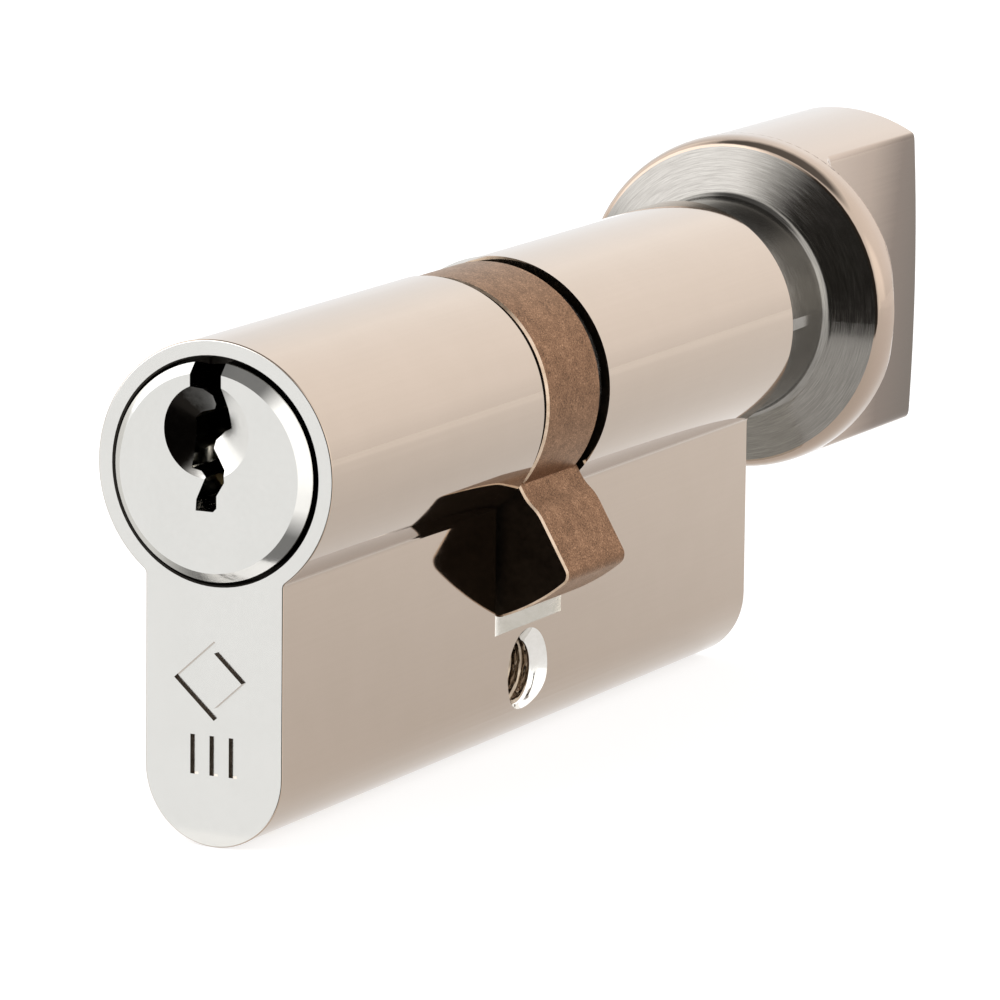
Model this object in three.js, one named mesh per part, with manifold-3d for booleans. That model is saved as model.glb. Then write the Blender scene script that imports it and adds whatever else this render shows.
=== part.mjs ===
// A euro-profile lock cylinder: a five-pin key side, a cam in the middle and a thumbturn on the other side.
//
// Frame, in millimetres: the origin is on the barrel's axis at the middle of the cam slot, +Y runs along
// the barrel from the keyed face to the thumbturn, and +Z points up, away from the leg that holds the pin
// chambers. The pins stand at the shear line, as they do with the right key in, so that the plug is free.

import * as THREE from "three";
import { mergeVertices } from "three/addons/utils/BufferGeometryUtils.js";
import Module from "manifold-3d";

const wasm = await Module();
wasm.setup();

// ---------------------------------------------------------------------------------------------------------
// Driving dimensions

const HALF_LENGTH = 35; // from the middle of the fixing-screw hole to each end of the body
const BARREL_R = 8.5; // outside of the barrel
const LEG_WIDTH = 10; // across the leg's two flat sides
const BODY_HEIGHT = 33; // from the top of the barrel to the bottom of the leg
const LEG_R = LEG_WIDTH / 2; // the leg's round bottom
const LEG_ROUND_Z = BARREL_R - BODY_HEIGHT + LEG_R; // centre of that round
const SLOT_HALF = 5; // half of the cam slot along the barrel
const SLOT_FLOOR_Z = -15.6; // floor of the cam slot in the leg
const ROOT_FILLET = 0.45; // where the barrel meets the leg

const SCREW_Z = -18.9; // axis of the fixing-screw hole, across the leg
const SCREW_R = 2.1; // the hole's wall, at the thread's crests
const SCREW_MOUTH_R = 3; // its countersunk mouth
const SCREW_MOUTH_DEPTH = 0.9;

const PLUG_R = 6.5; // plug and spindle, in their bores
const BORE_R = 6.65;
const FLANGE_R = 7.15; // the plug's front flange, which stops it going further in
const FLANGE_BORE_R = 7.36;
const FLANGE_DEPTH = 1.9;
const PLUG_PROUD = 0.86; // how far the plug's face stands out of the body
const PLUG_FACE_R = 6.45; // the plug's face, inside its chamfer
const PLUG_CHAMFER_DEPTH = 0.7;

const KEYWAY_END_Y = -6.2; // the keyway's blind end
const LEAD_IN = { x: -0.15, z: 2.7, r: 3.05, depth: 1.5 }; // cone that guides the key in

const PIN_COUNT = 5;
const PIN_PITCH = 4;
const FIRST_PIN_Y = -29.5;
const PIN_R = 1.3;
const CHAMBER_R = 1.45;
const KEY_PIN_FOOT_Z = -6.4; // the shear line, just inside the plug's surface
const KEY_PIN_TIPS_Z = [-1.6, -0.7, -1.9, -0.4, -1.2]; // the bitting that this cylinder is keyed to
const KEY_PIN_CONE = { depth: 0.8, r: 0.4 };
const PIN_LIFT = 1.8; // how far a pin stack rises when the key is out
const DRIVER_TOP_Z = -6.7; // just outside the plug's surface
const DRIVER_LENGTH = 4.5;
const DRIVER_WAIST = { r: 0.95, foot: 1.1, head: 0.9, slope: 0.3 };
const PIN_SPRING = { r: 1.05, wireR: 0.17, turns: 6, gap: 0.3 };
const CHAMBER_PLUG_R = 1.35;
const CHAMBER_PLUG_TOP_Z = -21.8;
const CHAMBER_PLUG_FOOT_Z = -24.25;

const CAM_RING_R = 8.3;
const CAM_RING_HALF = 3.95; // half of the ring's width along the barrel
const CAM_BORE_R = 5.6;
const LOBE_TIP_R = 15.25;
const LOBE_HALF_WIDTH = 3.35;
const LOBE_HALF_LENGTH = 4.4; // along the barrel
const LOBE_ROOT_R = 7.6; // clear of the circlips
const LOBE_CORNER = 0.8; // round of its two outer corners
const LOBE_CURVE_STEPS = 4;
const LOBE_NECK = { halfWidth: 2.95, start: 8.3, end: 10.6 }; // hollow where the lobe leaves the ring
const LOBE_ANGLE = THREE.MathUtils.degToRad(-60); // thirty degrees off straight down

const NECK_R = 5.4; // plug's and spindle's inner ends, which carry the cam
const PLUG_NECK_END_Y = -0.9;
const SPINDLE_NECK_END_Y = 2.2;
const SPINDLE_LUGS = { start: 0.2, end: 1.4 }; // behind the end of the spindle's neck
const DRIVE_R = 6.45; // lugs in the cam's two keyways
const DRIVE_WIDTH = 2;
const DRIVE_SLOT_R = 6.75;
const DRIVE_SLOT_WIDTH = 2.4;

const CLIP_GROOVE_R = 4.8;
const CLIP_GROOVE_HALF = 0.35;
const CLIP_Y = 4.5; // a circlip's mid-plane, each side of the cam
const SHOULDER_GAP = 0.05; // between the cam slot and the shoulders of the plug and spindle
const FLANGE_GAP = 0.15; // behind each flange
const CLIP = { inner: 4.95, outer: 7.5, half: 0.25, gap: THREE.MathUtils.degToRad(70) };

const CLUTCH = { back: -0.6, front: 0.4, r: 5.3, shaft: 1, tip: -6.3, tail: 2.1 };
const CLUTCH_SPRING = { r: 1.4, wireR: 0.15, length: 6, turns: 5, gap: 0.25 };
const TONGUE = { back: -4.3, front: -3.3, halfLength: 3.6, halfWidth: 1 };
const TONGUE_RECESS = { back: -4.6, front: -2.9, r: 3.9 };
const TONGUE_SLOT_HALF = 1.25;
const PUSH_HOLE_R = 1.3;
const SPRING_BORE_R = 1.9;
const SPRING_BORE_END_Y = 7;

const SHAFT_R = 4; // the spindle's outer end, inside the knob
const SHAFT_END_Y = 52;
const SHAFT_FLAT_Z = -3.4; // seat for the grub screw
const SHAFT_FLAT_HALF = 1.6;
const GRUB_Y = 38;
const GRUB_R = 1.15;
const GRUB_HOLE_R = 1.3;

const KNOB_R = 12.2; // collar and the paddle's round edges
const HUB_R = 8;
const KNOB_START_Y = 35.3;
const HUB_END_Y = 41.5;
const HUB_FILLET = 0.7; // between the hub and the collar's face
const COLLAR_FACE_R = 11.5;
const COLLAR_FACE_Y = 42.6;
const COLLAR_RIM_Y = 44.4; // where the collar's rounded rim reaches its full radius
const SHOULDER_Y = 45; // where the two flats begin
const PADDLE_HALF = 6; // half of the paddle's thickness
const KNOB_END_Y = 63;
const KNOB_DOME_R = 80; // the paddle's gently domed end
const KNOB_EDGE = 0.5; // small bevel round the end
const SHAFT_CLEARANCE = 0.15; // round the shaft, inside the knob
const SHAFT_END_GAP = 0.5;
const GRUB_SCREW = { depth: 0.4, gap: 0.3, point: 0.4, pointR: 0.6 };
const GRUB_SOCKET = { r: 0.7, depth: 1.2, sides: 6 };

const BODY_DRILL_PIN = { x: 2.4, y: -32.2, r: 0.9, top: -8.9, foot: -23.2 };
const PLUG_DRILL_PIN = { x: 3.6, y: -30.9, r: 0.9, half: 4.55 };
const DRILL_HOLE_R = 1;
const DRILL_HOLE_PAST = 0.3; // how far each drilling runs past the end of its pin

const ROUND = 48; // sides of the large turned pieces
const MEDIUM = 32; // sides of medium holes
const SMALL = 16; // sides of pins and small holes
const TINY = 12; // sides of the drill pins
const PAST = 1; // how far a cutter runs past the face it opens
const OVERLAP = 0.3; // how far a cutter runs into the hollow that it joins

// ---------------------------------------------------------------------------------------------------------
// Materials

function metal(color, roughness, metalness = 1) {
  return new THREE.MeshStandardMaterial({ color, roughness, metalness });
}

const nickel = () => metal(0xd9d0c7, 0.12);
const brushedNickel = () => metal(0xb8b2aa, 0.3);
const bronze = () => metal(0xa77d5c, 0.5, 0.9);
const brass = () => metal(0xc9a85c, 0.3);
const steel = () => metal(0x8d9094, 0.35);
const springSteel = () => metal(0xb9bcc0, 0.25);

// ---------------------------------------------------------------------------------------------------------
// Solids

/** A closed three.js geometry as a solid whose faces point out. */
function solid(geometry) {
  const bare = geometry.clone();
  for (const name of Object.keys(bare.attributes)) {
    if (name !== "position") bare.deleteAttribute(name);
  }
  const merged = mergeVertices(bare, 1e-5);
  const corners = merged.attributes.position;
  const faces = [];
  const [a, b, c] = [new THREE.Vector3(), new THREE.Vector3(), new THREE.Vector3()];
  let volume = 0;
  for (let i = 0; i < merged.index.count; i += 3) {
    const face = [0, 1, 2].map((k) => merged.index.getX(i + k));
    if (new Set(face).size < 3) continue; // a face that closes on the axis of a turned piece
    [a, b, c].forEach((v, k) => v.fromBufferAttribute(corners, face[k]));
    volume += a.dot(b.cross(c));
    faces.push(face);
  }
  if (volume < 0) faces.forEach((face) => face.reverse());
  return new wasm.Manifold(
    new wasm.Mesh({
      numProp: 3,
      vertProperties: new Float32Array(corners.array),
      triVerts: new Uint32Array(faces.flat()),
    }),
  );
}

/** A solid turned about the barrel's axis, from [radius, y] corners that start and end on the axis. */
function turned(profile, sides = ROUND) {
  return solid(new THREE.LatheGeometry(profile.map(([r, y]) => new THREE.Vector2(r, y)), sides));
}

/** A plain disc or cylinder about the barrel's axis. */
function disc(r, y0, y1, sides = ROUND) {
  return turned([[0, y0], [r, y0], [r, y1], [0, y1]], sides);
}

/** A shape drawn in (x, z), made solid from y0 to y1. */
function alongY(shape, y0, y1, curveSegments = ROUND / 4) {
  const geometry = new THREE.ExtrudeGeometry(shape, { depth: y1 - y0, bevelEnabled: false, curveSegments });
  geometry.rotateX(Math.PI / 2);
  geometry.translate(0, y1, 0);
  return solid(geometry);
}

function box(x0, x1, y0, y1, z0, z1) {
  const geometry = new THREE.BoxGeometry(x1 - x0, y1 - y0, z1 - z0);
  geometry.translate((x0 + x1) / 2, (y0 + y1) / 2, (z0 + z1) / 2);
  return solid(geometry);
}

/** A solid turned about an upright axis at (x, y), from [radius, z] corners. */
function turnedUpright(profile, x = 0, y = 0, sides = SMALL) {
  const geometry = new THREE.LatheGeometry(profile.map(([r, z]) => new THREE.Vector2(r, z)), sides);
  geometry.rotateX(Math.PI / 2);
  geometry.translate(x, y, 0);
  return solid(geometry);
}

function upright(r, z0, z1, x = 0, y = 0, sides = SMALL) {
  return turnedUpright([[0, z0], [r, z0], [r, z1], [0, z1]], x, y, sides);
}

/** A solid turned about the line across the leg at height z, from [radius, x] corners. */
function turnedAcross(profile, z, sides = SMALL) {
  const geometry = new THREE.LatheGeometry(profile.map(([r, x]) => new THREE.Vector2(r, x)), sides);
  geometry.rotateZ(-Math.PI / 2);
  geometry.translate(0, 0, z);
  return solid(geometry);
}

function path(points) {
  return new THREE.Shape(points.map(([x, z]) => new THREE.Vector2(x, z)));
}

/** A round wire coiled along +Y from 0 to length. */
function coil(radius, wireR, length, turns, stepsPerTurn = 8, sides = 5) {
  class Helix extends THREE.Curve {
    getPoint(t, target = new THREE.Vector3()) {
      const angle = t * turns * 2 * Math.PI;
      const y = wireR + t * (length - 2 * wireR);
      return target.set(radius * Math.cos(angle), y, radius * Math.sin(angle));
    }
  }
  const section = new THREE.Shape();
  for (let i = 0; i < sides; i++) {
    const angle = (i / sides) * 2 * Math.PI;
    section[i ? "lineTo" : "moveTo"](wireR * Math.cos(angle), wireR * Math.sin(angle));
  }
  const steps = turns * stepsPerTurn;
  return solid(new THREE.ExtrudeGeometry(section, { steps, extrudePath: new Helix(), bevelEnabled: false }));
}

const model = new THREE.Group();

/** Adds a named piece to the model, or to the group given. */
function piece(name, shape, material, parent = model) {
  const { vertProperties, triVerts, numProp } = shape.getMesh();
  const corners = new Float32Array((vertProperties.length / numProp) * 3);
  for (let i = 0; i < corners.length / 3; i++) {
    for (let k = 0; k < 3; k++) corners[3 * i + k] = vertProperties[numProp * i + k];
  }
  const geometry = new THREE.BufferGeometry();
  geometry.setAttribute("position", new THREE.BufferAttribute(corners, 3));
  geometry.setIndex(new THREE.BufferAttribute(new Uint32Array(triVerts), 1));
  geometry.computeVertexNormals();
  const mesh = new THREE.Mesh(geometry, material);
  mesh.name = name;
  parent.add(mesh);
  return mesh;
}

/** The y of each pin stack, from the keyed face inwards. */
const pinPlaces = Array.from({ length: PIN_COUNT }, (_, i) => FIRST_PIN_Y + i * PIN_PITCH);

// ---------------------------------------------------------------------------------------------------------
// Body

/** The euro profile: a round barrel over a straight leg with a round bottom. */
function euroProfile() {
  const reach = BARREL_R + ROOT_FILLET;
  const filletX = LEG_R + ROOT_FILLET;
  const filletZ = -Math.sqrt(reach * reach - filletX * filletX);
  const meet = Math.atan2(filletZ, filletX); // direction of the fillet's centre from the barrel's axis
  const profile = new THREE.Shape();
  profile.absarc(0, LEG_ROUND_Z, LEG_R, Math.PI, 2 * Math.PI, false);
  profile.absarc(filletX, filletZ, ROOT_FILLET, Math.PI, Math.PI + meet, true);
  profile.absarc(0, 0, BARREL_R, meet, Math.PI - meet, false);
  profile.absarc(-filletX, filletZ, ROOT_FILLET, -meet, 0, true);
  profile.closePath();
  return profile;
}

function makeBody() {
  let body = alongY(euroProfile(), -HALF_LENGTH, HALF_LENGTH, ROUND / 2);

  // a bore through each half, with a wider mouth for the flange of the plug or spindle
  const mouthY = HALF_LENGTH - FLANGE_DEPTH;
  const bore = [[0, -PAST], [BORE_R, -PAST], [BORE_R, mouthY], [FLANGE_BORE_R, mouthY]];
  bore.push([FLANGE_BORE_R, HALF_LENGTH + PAST], [0, HALF_LENGTH + PAST]);
  body = body.subtract(turned(bore));
  body = body.subtract(turned(bore.map(([r, y]) => [r, -y])));

  // the cam slot
  const clear = BARREL_R + PAST;
  body = body.subtract(box(-clear, clear, -SLOT_HALF, SLOT_HALF, SLOT_FLOOR_Z, clear));

  // the fixing-screw hole
  const face = LEG_R + PAST;
  const coneR = SCREW_R + ((SCREW_MOUTH_R - SCREW_R) * (SCREW_MOUTH_DEPTH + PAST)) / SCREW_MOUTH_DEPTH;
  const throat = LEG_R - SCREW_MOUTH_DEPTH;
  const hole = [[0, -face], [coneR, -face], [SCREW_R, -throat], [SCREW_R, throat], [coneR, face], [0, face]];
  body = body.subtract(turnedAcross(hole, SCREW_Z, MEDIUM));

  // the pin chambers, drilled from the bottom of the leg into the bore
  for (const y of pinPlaces) {
    body = body.subtract(upright(CHAMBER_R, LEG_ROUND_Z - LEG_R - PAST, -PLUG_R + PAST, 0, y));
  }
  for (const side of [-1, 1]) {
    const { x, y, top } = BODY_DRILL_PIN;
    const foot = LEG_ROUND_Z - LEG_R - PAST;
    body = body.subtract(upright(DRILL_HOLE_R, foot, top + DRILL_HOLE_PAST, side * x, y, TINY));
  }
  return body;
}

piece("body", makeBody(), nickel());

// ---------------------------------------------------------------------------------------------------------
// Key side

/** The keyway's warded section, open at the top of the plug. */
function keywaySection() {
  const top = FLANGE_R + PAST;
  return path([
    [0.9, top], [0.9, 5.6], [1.15, 4.2], [1.25, 2.9], [0.6, 2.6], [-0.05, 2], [-0.1, 1.5], [0.5, 0.9],
    [1.1, 0.3], [1.15, -0.5], [0.6, -1.4], [0.6, -2.2], [0.35, -2.45], [-0.9, -2.45], [-0.85, -1.7],
    [-0.45, -0.8], [-0.2, -0.25], [-0.6, 0.1], [-1.3, 0.25], [-1.35, 3.4], [-0.9, 3.8], [0, 4.05],
    [0.2, 4.4], [0.1, 5], [-0.5, 5.4], [-1.35, 5.5], [-1.35, top],
  ]);
}

function makeKeyPlug() {
  const faceY = -HALF_LENGTH - PLUG_PROUD;
  const flangeY = -HALF_LENGTH + FLANGE_DEPTH - FLANGE_GAP;
  const shoulderY = -SLOT_HALF - SHOULDER_GAP;
  let plug = turned([
    [0, faceY], [PLUG_FACE_R, faceY], [FLANGE_R, faceY + PLUG_CHAMFER_DEPTH], [FLANGE_R, flangeY],
    [PLUG_R, flangeY], [PLUG_R, shoulderY], [NECK_R, shoulderY],
    [NECK_R, -CLIP_Y - CLIP_GROOVE_HALF], [CLIP_GROOVE_R, -CLIP_Y - CLIP_GROOVE_HALF],
    [CLIP_GROOVE_R, -CLIP_Y + CLIP_GROOVE_HALF], [NECK_R, -CLIP_Y + CLIP_GROOVE_HALF],
    [NECK_R, PLUG_NECK_END_Y], [0, PLUG_NECK_END_Y],
  ]);
  plug = plug.subtract(alongY(keywaySection(), faceY - PAST, KEYWAY_END_Y));

  const { x, z, r, depth } = LEAD_IN;
  const cone = turned([[0, faceY + depth], [r, faceY], [r, faceY - PAST], [0, faceY - PAST]], MEDIUM);
  plug = plug.subtract(cone.translate([x, 0, z]));

  for (const [i, y] of pinPlaces.entries()) {
    const top = KEY_PIN_TIPS_Z[i] + PIN_LIFT + DRILL_HOLE_PAST;
    plug = plug.subtract(upright(CHAMBER_R, -PLUG_R - PAST, top, 0, y));
  }
  for (const side of [-1, 1]) {
    const pin = PLUG_DRILL_PIN;
    plug = plug.subtract(upright(DRILL_HOLE_R, -PLUG_R, PLUG_R, side * pin.x, pin.y, TINY));
  }

  // the inner end: a hole for the clutch's nose, a round recess and a slot that its tongue can drive
  const recess = TONGUE_RECESS;
  plug = plug.subtract(disc(PUSH_HOLE_R, KEYWAY_END_Y - OVERLAP, recess.back + OVERLAP, SMALL));
  plug = plug.subtract(disc(recess.r, recess.back, recess.front, MEDIUM));
  const [slotBack, slotEnd] = [recess.front - OVERLAP, PLUG_NECK_END_Y + PAST];
  const slot = box(-recess.r, recess.r, slotBack, slotEnd, -TONGUE_SLOT_HALF, TONGUE_SLOT_HALF);
  return plug.subtract(slot);
}

piece("key_plug", makeKeyPlug(), nickel());

/** Key pin: a flat foot at the shear line and a blunt cone that rides on the key's cuts. */
function makeKeyPin(tipZ) {
  const { depth, r } = KEY_PIN_CONE;
  const coneZ = tipZ - depth;
  return turnedUpright([[0, KEY_PIN_FOOT_Z], [PIN_R, KEY_PIN_FOOT_Z], [PIN_R, coneZ], [r, tipZ], [0, tipZ]]);
}

/** Driver pin: spool shaped, so that it catches when it is picked. */
function makeDriverPin() {
  const foot = DRIVER_TOP_Z - DRIVER_LENGTH;
  const waist = DRIVER_WAIST;
  const footZ = foot + waist.foot;
  const headZ = DRIVER_TOP_Z - waist.head;
  return turnedUpright([
    [0, foot], [PIN_R, foot], [PIN_R, footZ], [waist.r, footZ + waist.slope], [waist.r, headZ - waist.slope],
    [PIN_R, headZ], [PIN_R, DRIVER_TOP_Z], [0, DRIVER_TOP_Z],
  ]);
}

function makePinSpring() {
  const { r, wireR, turns, gap } = PIN_SPRING;
  const foot = CHAMBER_PLUG_TOP_Z + gap;
  const length = DRIVER_TOP_Z - DRIVER_LENGTH - gap - foot;
  return coil(r, wireR, length, turns).rotate([90, 0, 0]).translate([0, 0, foot]);
}

for (const [i, y] of pinPlaces.entries()) {
  const stack = new THREE.Group();
  stack.position.y = y;
  model.add(stack);
  piece(`key_pin_${i + 1}`, makeKeyPin(KEY_PIN_TIPS_Z[i]), brass(), stack);
  piece(`driver_pin_${i + 1}`, makeDriverPin(), steel(), stack);
  piece(`pin_spring_${i + 1}`, makePinSpring(), springSteel(), stack);
  const chamberPlug = upright(CHAMBER_PLUG_R, CHAMBER_PLUG_FOOT_Z, CHAMBER_PLUG_TOP_Z);
  piece(`chamber_plug_${i + 1}`, chamberPlug, brass(), stack);
}

for (const [name, side] of [["left", -1], ["right", 1]]) {
  const inBody = BODY_DRILL_PIN;
  const inPlug = PLUG_DRILL_PIN;
  const bodyPin = upright(inBody.r, inBody.foot, inBody.top, side * inBody.x, inBody.y, TINY);
  const plugPin = upright(inPlug.r, -inPlug.half, inPlug.half, side * inPlug.x, inPlug.y, TINY);
  piece(`body_drill_pin_${name}`, bodyPin, steel());
  piece(`plug_drill_pin_${name}`, plugPin, steel());
}

// ---------------------------------------------------------------------------------------------------------
// Cam and clutch

/** The lobe's outline in (x, z): a hollow neck, straight sides and a round tip about the barrel's axis. */
function lobeOutline() {
  const half = LOBE_HALF_WIDTH;
  const corner = LOBE_CORNER;
  const neck = LOBE_NECK;
  const bend = (neck.start + neck.end) / 2; // where the neck's curve takes both directions
  const side = Math.sqrt((LOBE_TIP_R - corner) ** 2 - (half - corner) ** 2);
  const spread = Math.atan2(half - corner, side);
  const outline = new THREE.Shape();
  outline.moveTo(LOBE_ROOT_R, -neck.halfWidth);
  outline.lineTo(neck.start, -neck.halfWidth);
  outline.bezierCurveTo(bend, -neck.halfWidth, bend, -half, neck.end, -half);
  outline.lineTo(side, -half);
  outline.absarc(side, -half + corner, corner, -Math.PI / 2, -spread, false);
  outline.absarc(0, 0, LOBE_TIP_R, -spread, spread, false);
  outline.absarc(side, half - corner, corner, spread, Math.PI / 2, false);
  outline.lineTo(neck.end, half);
  outline.bezierCurveTo(bend, half, bend, neck.halfWidth, neck.start, neck.halfWidth);
  outline.lineTo(LOBE_ROOT_R, neck.halfWidth);
  outline.closePath();
  return outline;
}

function makeCam() {
  let cam = disc(CAM_RING_R, -CAM_RING_HALF, CAM_RING_HALF);
  const lobe = alongY(lobeOutline(), -LOBE_HALF_LENGTH, LOBE_HALF_LENGTH, LOBE_CURVE_STEPS);
  const turn = THREE.MathUtils.radToDeg(-LOBE_ANGLE);
  cam = cam.add(lobe.rotate([0, turn, 0]));
  cam = cam.subtract(disc(CAM_BORE_R, -SLOT_HALF, SLOT_HALF));
  const half = DRIVE_SLOT_WIDTH / 2;
  return cam.subtract(box(-DRIVE_SLOT_R, DRIVE_SLOT_R, -SLOT_HALF, SLOT_HALF, -half, half));
}

piece("cam", makeCam(), bronze());

/** A bar across the barrel's axis whose two ends are drive lugs. */
function driveLugs(y0, y1) {
  return box(-DRIVE_R, DRIVE_R, y0, y1, -DRIVE_WIDTH / 2, DRIVE_WIDTH / 2);
}

function makeClutch() {
  const { back, front, r, shaft, tip, tail } = CLUTCH;
  let clutch = disc(r, back, front).add(driveLugs(back, front));
  clutch = clutch.add(disc(shaft, tip, tail, SMALL));
  const { halfLength, halfWidth } = TONGUE;
  return clutch.add(box(-halfLength, halfLength, TONGUE.back, TONGUE.front, -halfWidth, halfWidth));
}

piece("clutch", makeClutch(), steel());

const clutchSpring = coil(CLUTCH_SPRING.r, CLUTCH_SPRING.wireR, CLUTCH_SPRING.length, CLUTCH_SPRING.turns);
piece("clutch_spring", clutchSpring.translate([0, CLUTCH.front + CLUTCH_SPRING.gap, 0]), springSteel());

/** A C-shaped circlip in the groove at y. */
function makeCirclip(y) {
  const shape = new THREE.Shape();
  const start = Math.PI / 2 + CLIP.gap / 2;
  const end = Math.PI / 2 - CLIP.gap / 2 + 2 * Math.PI;
  shape.absarc(0, 0, CLIP.outer, start, end, false);
  shape.absarc(0, 0, CLIP.inner, end, start, true);
  shape.closePath();
  return alongY(shape, y - CLIP.half, y + CLIP.half, ROUND / 3);
}

piece("plug_circlip", makeCirclip(-CLIP_Y), springSteel());
piece("spindle_circlip", makeCirclip(CLIP_Y), springSteel());

// ---------------------------------------------------------------------------------------------------------
// Thumbturn side

function makeSpindle() {
  const flangeY = HALF_LENGTH - FLANGE_DEPTH + FLANGE_GAP;
  const flangeEnd = HALF_LENGTH - SHOULDER_GAP;
  const shoulderY = SLOT_HALF + SHOULDER_GAP;
  let spindle = turned([
    [0, SPINDLE_NECK_END_Y], [NECK_R, SPINDLE_NECK_END_Y], [NECK_R, CLIP_Y - CLIP_GROOVE_HALF],
    [CLIP_GROOVE_R, CLIP_Y - CLIP_GROOVE_HALF], [CLIP_GROOVE_R, CLIP_Y + CLIP_GROOVE_HALF],
    [NECK_R, CLIP_Y + CLIP_GROOVE_HALF], [NECK_R, shoulderY], [PLUG_R, shoulderY],
    [PLUG_R, flangeY], [FLANGE_R, flangeY], [FLANGE_R, flangeEnd], [SHAFT_R, flangeEnd],
    [SHAFT_R, SHAFT_END_Y], [0, SHAFT_END_Y],
  ]);
  const lugY = SPINDLE_NECK_END_Y;
  spindle = spindle.add(driveLugs(lugY + SPINDLE_LUGS.start, lugY + SPINDLE_LUGS.end));
  spindle = spindle.subtract(disc(SPRING_BORE_R, SPINDLE_NECK_END_Y - PAST, SPRING_BORE_END_Y, SMALL));
  const [seatStart, seatEnd] = [GRUB_Y - SHAFT_FLAT_HALF, GRUB_Y + SHAFT_FLAT_HALF];
  const seat = box(-SHAFT_R, SHAFT_R, seatStart, seatEnd, -SHAFT_R - PAST, SHAFT_FLAT_Z);
  return spindle.subtract(seat);
}

piece("turn_spindle", makeSpindle(), brass());

function makeKnob() {
  // hub, brushed front face, round collar and the domed end, turned in one piece
  const dome = [];
  const domeCentre = KNOB_END_Y - KNOB_DOME_R;
  const domeSteps = 4;
  const edgeR = KNOB_R - KNOB_EDGE;
  for (let i = domeSteps; i >= 0; i--) {
    const r = (edgeR * i) / domeSteps;
    dome.push([r, domeCentre + Math.sqrt(KNOB_DOME_R ** 2 - r ** 2)]);
  }
  const rim = [];
  const rimSteps = 4;
  for (let i = 0; i <= rimSteps; i++) {
    const t = (i / rimSteps) * (Math.PI / 2);
    const r = COLLAR_FACE_R + (KNOB_R - COLLAR_FACE_R) * Math.sin(t);
    rim.push([r, COLLAR_RIM_Y - (COLLAR_RIM_Y - COLLAR_FACE_Y) * Math.cos(t)]);
  }
  let knob = turned([
    [0, KNOB_START_Y], [HUB_R, KNOB_START_Y], [HUB_R, HUB_END_Y - HUB_FILLET],
    [HUB_R + HUB_FILLET * (1 - Math.SQRT1_2), HUB_END_Y - HUB_FILLET * (1 - Math.SQRT1_2)],
    [HUB_R + HUB_FILLET, HUB_END_Y], ...rim, [KNOB_R, dome[0][1] - KNOB_EDGE], ...dome,
  ]);

  // two flats, for finger and thumb
  for (const side of [-1, 1]) {
    const [x0, x1] = [side * PADDLE_HALF, side * (KNOB_R + PAST)].sort((a, b) => a - b);
    knob = knob.subtract(box(x0, x1, SHOULDER_Y, KNOB_END_Y + PAST, -KNOB_R - PAST, KNOB_R + PAST));
  }

  knob = knob.subtract(disc(SHAFT_R + SHAFT_CLEARANCE, KNOB_START_Y - PAST, SHAFT_END_Y + SHAFT_END_GAP));
  return knob.subtract(upright(GRUB_HOLE_R, -HUB_R - PAST, -SHAFT_R + OVERLAP, 0, GRUB_Y));
}

piece("turn_knob", makeKnob(), brushedNickel());

function makeGrubScrew() {
  const { depth, gap, point, pointR } = GRUB_SCREW;
  const socket = GRUB_SOCKET;
  const foot = -HUB_R + depth;
  const top = SHAFT_FLAT_Z - gap;
  const profile = [[0, foot], [GRUB_R, foot], [GRUB_R, top - point], [pointR, top], [0, top]];
  const screw = turnedUpright(profile, 0, GRUB_Y);
  return screw.subtract(upright(socket.r, foot - PAST, foot + socket.depth, 0, GRUB_Y, socket.sides));
}

piece("knob_grub_screw", makeGrubScrew(), steel());

export default model;
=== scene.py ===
"""The looks of a euro-profile lock cylinder with a thumbturn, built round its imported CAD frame.

Lengths are in millimetres until a piece is finished, when its mesh is scaled to metres. The frame is the
part's own: the origin is on the barrel's axis at the middle of the cam slot, +Y runs towards the thumbturn
and +Z points away from the leg.
"""

import math

import bmesh
import bpy
from mathutils import Matrix, Vector


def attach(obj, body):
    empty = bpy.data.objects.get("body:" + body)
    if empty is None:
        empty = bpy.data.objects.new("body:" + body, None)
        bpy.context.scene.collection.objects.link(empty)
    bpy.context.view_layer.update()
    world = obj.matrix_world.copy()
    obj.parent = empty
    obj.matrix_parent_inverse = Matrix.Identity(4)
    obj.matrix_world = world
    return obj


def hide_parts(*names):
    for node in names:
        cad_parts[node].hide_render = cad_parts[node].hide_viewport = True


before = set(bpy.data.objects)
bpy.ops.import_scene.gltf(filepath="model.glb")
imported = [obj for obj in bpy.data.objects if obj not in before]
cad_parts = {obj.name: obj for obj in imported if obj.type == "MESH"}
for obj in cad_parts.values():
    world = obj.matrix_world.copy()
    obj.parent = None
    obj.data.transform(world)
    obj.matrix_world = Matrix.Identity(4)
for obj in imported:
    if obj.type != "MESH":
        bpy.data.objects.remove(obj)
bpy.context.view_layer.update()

MM = 0.001
PAST = 1.0  # how far a cutter runs past the face it opens
NEAR = 0.01  # the slack in a test of where a face is or how it slopes

# ---------------------------------------------------------------------------------------------------------
# Driving dimensions

HALF_LENGTH = 35.0
BARREL_R = 8.5
LEG_R = 5.0
LEG_FOOT_Z = -24.5
LEG_ROUND_Z = LEG_FOOT_Z + LEG_R
ROOT_FILLET = 0.45
SLOT_HALF = 5.0
SLOT_FLOOR_Z = -15.6
END_ROUND = 0.12  # small round on the outline of the body's two ends
MOUTH_CHAMFER = 0.12  # round the mouth of each bore

SCREW_Z = -18.9
SCREW_R = 2.1
SCREW_MOUTH_R = 3.0
SCREW_MOUTH_DEPTH = 0.9
THREAD_PITCH = 0.8
THREAD_DEPTH = 0.34
THREAD_GROOVE = 2 / 3  # the groove's share of the pitch

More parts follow.
